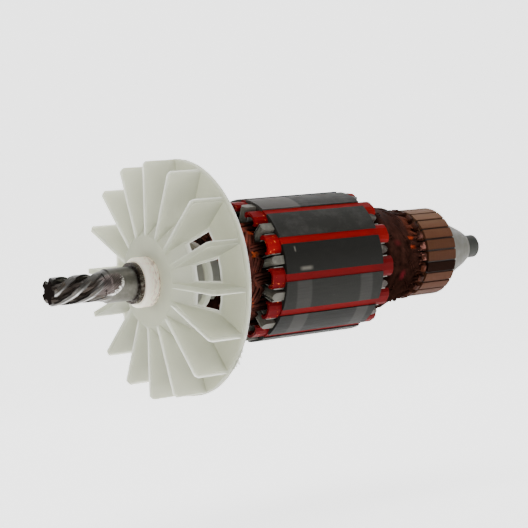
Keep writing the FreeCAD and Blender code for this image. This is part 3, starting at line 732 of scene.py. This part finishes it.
# Offset from the core's face and radius of the varnish between the coils, from its inner edge
# at the core to its inner edge at the far end, and the height of its ridges.
REAR_VARNISH = [(1.5, 6.0), (1.6, 9.0), (2.6, 11.2), (3.6, 13.4), (4.4, 14.5), (6.0, 14.2),
                (7.6, 13.5), (9.4, 13.0), (11.2, 12.6), (12.8, 12.1), (14.4, 11.5), (15.6, 11.1),
                (17.1, 10.95), (17.2, 6.0)]
FRONT_VARNISH = [(1.5, 6.0), (1.6, 8.5), (4.5, 9.6), (7, 10.4), (9.6, 9.9), (10.8, 9.0),
                 (11.0, 6.0)]
REAR_RIDGE, FRONT_RIDGE = 0.15, 0.25
# Degrees that the ridges turn to a millimetre, as the bundles do.
RIDGE_TWIST = 7.5
# Lumps on the varnish: how many go round it, degrees to a millimetre and height.
LUMPS = [(5, 40, 0.12), (11, -65, 0.1)]


def varnish_ring(name, face, side, profile, ridge):
    """Varnish between the coils of one end, ridged by the bundles and a little lumpy."""
    around, points, faces = 144, [], []
    for offset, radius in profile:
        for step in range(around):
            angle = 360 * step / around
            ridge_angle = angle - SLOT_PHASE - side * offset * RIDGE_TWIST
            wave = math.cos(math.radians(SLOT_COUNT * ridge_angle))
            lump = sum(height * math.sin(math.radians(times * angle + twist * offset))
                       for times, twist, height in LUMPS)
            points.append(at(face + side * offset, radius + ridge * wave + lump, angle))
    for row in range(len(profile) - 1):
        near, far = row * around, (row + 1) * around
        for step in range(around):
            after = (step + 1) % around
            quad = (near + step, near + after, far + after, far + step)
            faces.append(quad if side > 0 else quad[::-1])
    return new_piece(name, points, faces, VARNISH)


varnish_ring("rear_winding_varnish", CORE_BACK, 1, REAR_VARNISH, REAR_RIDGE)
varnish_ring("front_winding_varnish", CORE_FRONT, -1, FRONT_VARNISH, FRONT_RIDGE)


# Moulding flash on the fan's rim, with torn burrs at the lower near side. Each burr has its
# angle from the near side, up being positive, and its height.
BURRS = [(-39.5, 0.6), (-42.4, 1.0), (-45.8, 1.5), (-48.4, 0.8), (-50.6, 0.5)]
# Half the width of a burr in degrees, and the greatest height of the flash between burrs.
BURR_SPREAD, FLASH_HEIGHT = 1.5, 0.13
# The flash is a ridge whose foot is so far inside the rim. Its front, its crest and its back
# are so far before the disc's back.
FLASH_ROOT = 0.2
FLASH_FRONT, FLASH_CREST, FLASH_BACK = 0.7, 0.15, 0.02


def rim_flash():
    chance = random.Random(3)
    foot = FAN_RIM - FLASH_ROOT
    steps, points, faces = 720, [], []
    for step in range(steps):
        angle = 360 * step / steps
        height = chance.uniform(0.0, FLASH_HEIGHT)
        for place, burr in BURRS:
            height = max(height, burr * (1 - abs(90 - place - angle) / BURR_SPREAD))
        points += [at(DISC_BACK - FLASH_FRONT, foot, angle),
                   at(DISC_BACK - FLASH_BACK, foot, angle),
                   at(DISC_BACK - FLASH_CREST, FAN_RIM + height, angle)]
    for step in range(steps):
        near, far = step * 3, (step + 1) % steps * 3
        for side in range(3):
            after = (side + 1) % 3
            faces.append((near + side, near + after, far + after, far + side))
    return new_piece("fan_rim_flash", points, faces, FINISHES["fan_nylon"], False)


rim_flash()


# Leads from the rear winding head to the hooks, two to a bar: their length and radius from the
# axis, half the angle between two, and how far each may lean at the winding and stray from its
# radius.
LEAD_LENGTH, LEAD_HEIGHT = 4.2, 10.9
TWIN_ANGLE, LEAD_LEAN, LEAD_STRAY = 1.9, 9, 0.08
# How much lower a lead ends and how far it bows out half-way.
LEAD_FALL, LEAD_BOW = 0.1, 0.25


def wire_leads():
    chance = random.Random(7)
    points, faces = [], []
    for number in range(BAR_COUNT):
        angle = BAR_PHASE + 360 / BAR_COUNT * number
        for twin in (-1, 1):
            lean = chance.uniform(-LEAD_LEAN, LEAD_LEAN)
            path = []
            for part in (0, 0.2, 0.4, 0.6, 0.8, 1):
                radius = (LEAD_HEIGHT - LEAD_FALL * part + LEAD_BOW * math.sin(math.pi * part)
                          + chance.uniform(-LEAD_STRAY, LEAD_STRAY))
                station = HOOK_FRONT - LEAD_LENGTH * (1 - part)
                path.append(at(station, radius, angle + twin * TWIN_ANGLE + lean * (1 - part)))
            add_tube(points, faces, path, LEAD_RADIUS, WIRE_SIDES, False)
    leads = new_piece("lead_wires", points, faces, FINISHES["lead_copper"])
    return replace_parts(leads, "coil_leads")


wire_leads()

# Camera at the angle of the photograph: its direction, its roll and its distance from the
# front of the core. PIXELS is the side of the square picture, FOCUS the focal length in its
# pixels and SIGHT the pixel on which the middle of the core's front falls.
TURN, ROLL, DISTANCE = math.radians(54.61), math.radians(-6.16), 410.83
PIXELS, FOCUS, SIGHT = 528, 1685.86, (244.56, 270.86)

view = Vector((math.cos(TURN), math.sin(TURN), 0))
flat_right = Vector((math.sin(TURN), -math.cos(TURN), 0))
right = flat_right * math.cos(ROLL) + Vector((0, 0, math.sin(ROLL)))
above = Vector((0, 0, math.cos(ROLL))) - flat_right * math.sin(ROLL)
middle = PIXELS / 2
stand = (Vector((CORE_FRONT, 0, 0)) - view * DISTANCE
         - right * (SIGHT[0] - middle) / FOCUS * DISTANCE
         + above * (SIGHT[1] - middle) / FOCUS * DISTANCE)
lens = bpy.data.cameras.new("camera")
lens.sensor_width = 36
lens.lens = FOCUS / PIXELS * lens.sensor_width
lens.clip_start = 0.01
camera = bpy.data.objects.new("camera", lens)
camera.matrix_world = Matrix((right, above, -view)).transposed().to_4x4()
camera.location = stand * MM
bpy.context.scene.collection.objects.link(camera)
bpy.context.scene.camera = camera


# Pale floor that curves up into a backdrop, and soft studio light, in metres.

FLOOR_FRONT, BEND_START, BEND_RADIUS = -1.2, 0.35, 0.5
FLOOR_HEIGHT, WALL_HEIGHT, HALF_WIDTH = -0.062, 1.6, 2.0
# Where the backdrop's middle and the lights' aim are along the shaft.
BACKDROP_MIDDLE, LIGHT_AIM = 0.05, Vector((0.045, 0, 0))
BEND_STEPS = 23


def backdrop():
    rows = [(FLOOR_FRONT, FLOOR_HEIGHT)]
    for step in range(BEND_STEPS + 1):
        bend = math.radians(90 * step / BEND_STEPS)
        rows.append((BEND_START + BEND_RADIUS * math.sin(bend),
                     FLOOR_HEIGHT + BEND_RADIUS * (1 - math.cos(bend))))
    rows.append((BEND_START + BEND_RADIUS, WALL_HEIGHT))
    points, faces = [], []
    for reach, height in rows:
        for wide in (-HALF_WIDTH, HALF_WIDTH):
            points.append(view * reach + flat_right * wide + Vector((BACKDROP_MIDDLE, 0, height)))
    for row in range(len(rows) - 1):
        faces.append((row * 2, row * 2 + 1, row * 2 + 3, row * 2 + 2))
    mesh = bpy.data.meshes.new("floor")
    mesh.from_pydata([tuple(point) for point in points], [], faces)
    mesh.polygons.foreach_set("use_smooth", [True] * len(mesh.polygons))
    paper = bpy.data.materials.new("pale_floor")
    paper.use_nodes = True
    surface = paper.node_tree.nodes["Principled BSDF"]
    surface.inputs["Base Color"].default_value = (0.93, 0.93, 0.925, 1)
    surface.inputs["Roughness"].default_value = 0.9
    surface.inputs["Emission Color"].default_value = (1, 1, 1, 1)
    surface.inputs["Emission Strength"].default_value = 1.8
    mesh.materials.append(paper)
    floor = bpy.data.objects.new("floor", mesh)
    bpy.context.scene.collection.objects.link(floor)


backdrop()


def soft_box(name, place, size, power):
    light = bpy.data.lights.new(name, "AREA")
    light.shape = "RECTANGLE"
    light.size, light.size_y = size
    light.energy = power
    lamp = bpy.data.objects.new(name, light)
    lamp.location = place
    lamp.rotation_euler = (LIGHT_AIM - Vector(place)).to_track_quat("-Z", "Y").to_euler()
    bpy.context.scene.collection.objects.link(lamp)


soft_box("overhead_light", place=(-0.05, -0.15, 0.75), size=(0.9, 0.7), power=5.8)
soft_box("front_light", place=(-0.75, -0.35, 0.30), size=(0.6, 0.5), power=2.2)
soft_box("side_light", place=(0.55, -0.75, 0.20), size=(0.5, 0.5), power=0.25)

world = bpy.data.worlds.new("studio")
world.use_nodes = True
world.node_tree.nodes["Background"].inputs["Color"].default_value = (1, 1, 1, 1)
world.node_tree.nodes["Background"].inputs["Strength"].default_value = 0.28
bpy.context.scene.world = world
